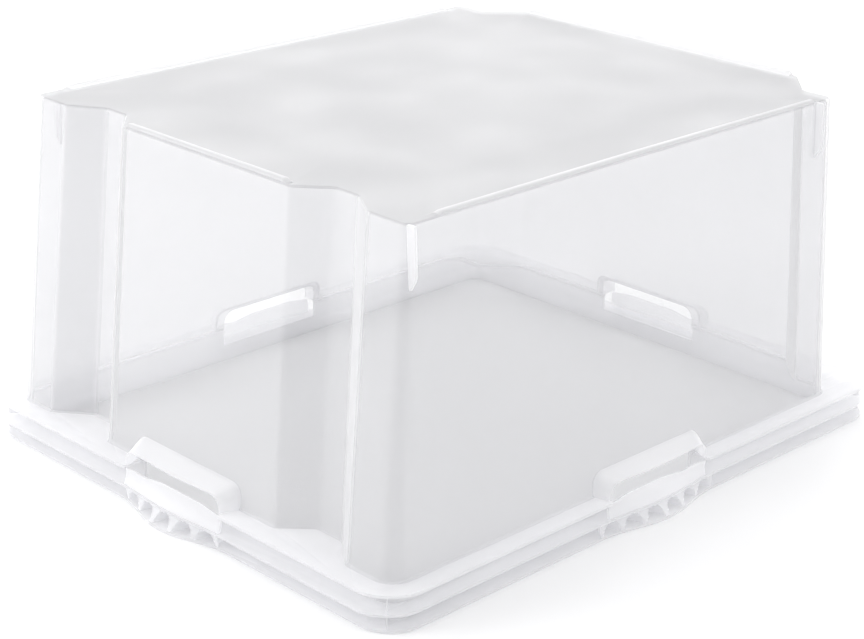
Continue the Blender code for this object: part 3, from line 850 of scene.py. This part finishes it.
# Painted light: the rim, webs, teeth and ribs get a lighter copy of the wall's milk and a painted glow,
# so they read near white.
RIM = frosted_plastic("rim_plastic", PAINTED_LIGHT_MILK, (0.3, 0.4, 0.85), *SATIN, passing=0.4, painted_glow=0.16)
# Painted light: the hoods and finger bars get the same lighter copy of the milk and a weaker painted
# glow.
GRIP = frosted_plastic("grip_plastic", PAINTED_LIGHT_MILK, (0.42, 0.52, 0.85), *SATIN, passing=0.35, painted_glow=0.09)
# Painted shade: the foot ridges get a darker copy of the milk, which tones down the highlight along the
# panel's edge.
CREST = frosted_plastic("ridge_plastic", SHADED_RIDGE_MILK, (0.5, 0.6, 0.9), *SATIN, passing=0.2)
# Painted shading: the near posts' flanks get a denser, slightly darker copy of the wall plastic, which
# sets the band of light and shade seen across them.
FLANK = frosted_plastic("flank_plastic_painted_shading", FLANK_SHADING_MILK, (0.32, 0.36, 0.97), *SATIN, passing=0.27)
# Painted highlight: narrow fin sides, the grips' opening rims and the ribs' edges get a lighter, denser
# copy of the milk and a faint painted glow, standing for light that runs along the sheet.
EDGE = frosted_plastic("edge_plastic_painted_highlight", PAINTED_HIGHLIGHT_MILK, (0.45, 0.55, 0.85), *SMOOTH, passing=0.4, painted_glow=0.03)


def dress(piece, slot_name, main, *others):
    """Gives a piece its plastic, and other plastics on the faces that their tests pick."""
    piece.data.materials.clear()
    piece.data.materials.append(main)
    for index, (material, picks) in enumerate(others, 1):
        piece.data.materials.append(material)
        for face in piece.data.polygons:
            if picks(face):
                face.material_index = index
    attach(piece, "root")


# Limits for picking faces: a unit normal's part along one axis, then distances.
LEVEL, UPRIGHT, FIN_SIDE, RIB_FACE = 0.9, 0.6, 0.8, 0.6
RIM_FRONT, RIM_UP = 0.6, 0.75
PANEL_BELOW, CREST_ABOVE = 0.5, 0.8
RIM_FRONT_DEEP, RIM_FOOT_DEEPER = 1.4, 4
FLANK_MARGIN = 1.0


def is_floor(face):
    """Faces of the floor panel, inside its rounded edge, which get the darker panel copy as painted
    shade.
    """
    return face.center.z / MM > PANEL_Z - SKIN - PANEL_BELOW and abs(face.normal.z) > LEVEL


def is_thin_side(face):
    """The narrow upright side of a fin, which gets a painted highlight standing for light that runs along
    the sheet and comes out.
    """
    return abs(face.normal.z) < FIN_SIDE


def opening_rim(side):
    """A test for the narrow faces around a grip's opening, which get a painted highlight."""
    (ox, oy), _, axis = SIDES[side]
    reach = UPPER_HALF[axis] - FRONT_SETBACK - RIM_FRONT_DEEP

    def picks(face):
        outward = (face.center.x * ox + face.center.y * oy) / MM
        if face.center.z / MM > LEDGE_Z:
            return face.normal.x * ox + face.normal.y * oy > RIM_FRONT and outward > reach
        return face.normal.z > RIM_UP and outward > reach - RIM_FOOT_DEEPER

    return picks


def is_post_flank(face):
    """Each near post's upright side, between the post and its channel, where painted shading is laid on.
    """
    x, y, z = (c / MM for c in face.center)
    low, high = (between(pair, share_at(z)) for pair in (CHANNEL_END_Y, NEAR_POST_Y))
    in_band = low - FLANK_MARGIN < abs(y) < high + FLANK_MARGIN
    return x < 0 and abs(face.normal.z) < UPRIGHT and in_band


def is_crest(face):
    """The raised foot ridges around the floor panel, which get a darker copy of the plastic as painted
    shade.
    """
    return face.center.z / MM > PANEL_Z + CREST_ABOVE


def is_rib_face(face):
    """A spacer rib's outer edge and root, which face away from the wall or towards it and get a painted
    highlight.
    """
    return abs(face.normal.y) > RIB_FACE


# ---------------------------------------------------------------- stage, light and camera

AZIMUTH, ELEVATION, ROLL = 44.79, 21.56, 1.02
DISTANCE, AIM_RIGHT, AIM_UP = 1576.6, 9.05, 43.66
LENS, SENSOR, FARTHEST = 87.46, 36.0, 50.0
LIGHT_AIM = (0, 0, 0.1)
WORLD_STRENGTH = 0.47
FLOOR_HALF, FLOOR_DROP = 7.0, -0.0006
FLOOR_COLOUR, FLOOR_ROUGHNESS, FLOOR_GLOSS = (0.88, 0.88, 0.885, 1.0), 0.7, 0.2
# Softboxes: place and size in metres, power in watts.
SOFTBOXES = {
    "left_softbox": ((-1.6, 1.4, 0.9), 1.6, 32.0),
    "right_softbox": ((1.4, -1.6, 0.9), 1.6, 17.5),
    "back_softbox": ((1.6, 1.6, 1.2), 1.6, 16.0),
    "front_softbox": ((-1.6, -1.6, 1.5), 1.6, 11.0),
    "top_softbox": ((0.3, 0.3, 2.6), 2.6, 46.0),
}


def camera_axes():
    azimuth, elevation, roll = (math.radians(a) for a in (AZIMUTH, ELEVATION, ROLL))
    forward = Vector((
        math.sin(azimuth) * math.cos(elevation),
        math.cos(azimuth) * math.cos(elevation),
        -math.sin(elevation),
    ))
    level = Vector((math.cos(azimuth), -math.sin(azimuth), 0.0))
    upright = level.cross(forward)
    right = math.cos(roll) * level + math.sin(roll) * upright
    up = -math.sin(roll) * level + math.cos(roll) * upright
    return right, up, forward


def make_camera():
    right, up, forward = camera_axes()
    data = bpy.data.cameras.new("camera")
    data.lens = LENS
    data.sensor_width = SENSOR
    data.clip_end = FARTHEST
    camera = bpy.data.objects.new("camera", data)
    bpy.context.scene.collection.objects.link(camera)
    middle = Vector((0.0, 0.0, PANEL_Z / 2))
    at = (middle - forward * DISTANCE - right * AIM_RIGHT - up * AIM_UP) * MM
    turn = Matrix((right, up, -forward)).transposed()
    camera.matrix_world = Matrix.Translation(at) @ turn.to_4x4()
    bpy.context.scene.camera = camera


def area_light(name, at, size, power):
    """A square softbox, in metres and watts, turned to the box."""
    data = bpy.data.lights.new(name, "AREA")
    data.shape = "RECTANGLE"
    data.size = size
    data.size_y = size
    data.energy = power
    lamp = bpy.data.objects.new(name, data)
    bpy.context.scene.collection.objects.link(lamp)
    lamp.location = at
    lamp.rotation_mode = "QUATERNION"
    lamp.rotation_quaternion = (Vector(LIGHT_AIM) - Vector(at)).to_track_quat("-Z", "Y")


def make_floor():
    mesh = bpy.data.meshes.new("floor")
    corners = [
        (x * FLOOR_HALF, y * FLOOR_HALF, FLOOR_DROP)
        for x, y in ((-1, -1), (1, -1), (1, 1), (-1, 1))
    ]
    mesh.from_pydata(corners, [], [(0, 1, 2, 3)])
    floor = link("floor", mesh)
    material = bpy.data.materials.new("pale_floor")
    material.use_nodes = True
    shader = material.node_tree.nodes["Principled BSDF"]
    shader.inputs["Base Color"].default_value = FLOOR_COLOUR
    shader.inputs["Roughness"].default_value = FLOOR_ROUGHNESS
    shader.inputs["Specular IOR Level"].default_value = FLOOR_GLOSS
    floor.data.materials.append(material)


def make_light():
    """A bright left and right and an even top, so faces turned to the camera stay darker."""
    world = bpy.data.worlds.new("studio")
    bpy.context.scene.world = world
    world.use_nodes = True
    background = world.node_tree.nodes["Background"]
    background.inputs["Color"].default_value = WHITE
    background.inputs["Strength"].default_value = WORLD_STRENGTH
    for name, (at, size, power) in SOFTBOXES.items():
        area_light(name, at, size, power)


# ---------------------------------------------------------------- build

shell = make_shell()
WALL_NODES = [
    f"{end}_{hand}_{kind}"
    for end, kinds in (("near", ("channel", "post")), ("far", ("corner",)))
    for hand in ("left", "right")
    for kind in kinds
] + ["near_end_wall", "far_end_wall", "left_side_wall", "right_side_wall"]
RIDGE_NODES = [side + "_foot_ridge" for side in SIDES]
dress(shell, "clear_wall", WALL, (PANEL, is_floor), (CREST, is_crest), (FLANK, is_post_flank))
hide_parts("floor_panel", *WALL_NODES, *RIDGE_NODES)

for piece, stands_for in make_rim():
    dress(piece, "rim_plastic", RIM, (EDGE, is_thin_side))
    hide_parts(stands_for)
for side in SIDES:
    for maker, kind, material in (
        (make_hood, "grip_hood", GRIP),
        (make_grip_bar, "grip_bar", GRIP),
        (make_grip_teeth, "grip_teeth", RIM),
    ):
        piece = maker(side)
        dress(piece, "grip_plastic", material, (EDGE, opening_rim(side)))
        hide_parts(f"{side}_{kind}")
for end in ("near", "far"):
    for hand in ("left", "right"):
        rib_node = f"{end}_{hand}_spacer_rib"
        piece = make_rib(rib_node)
        dress(piece, "ridge_plastic", RIM, (EDGE, is_rib_face))
        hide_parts(rib_node)

make_floor()
make_light()
make_camera()
bpy.context.scene.view_settings.view_transform = "Standard"
bpy.context.scene.cycles.transparent_max_bounces = 48
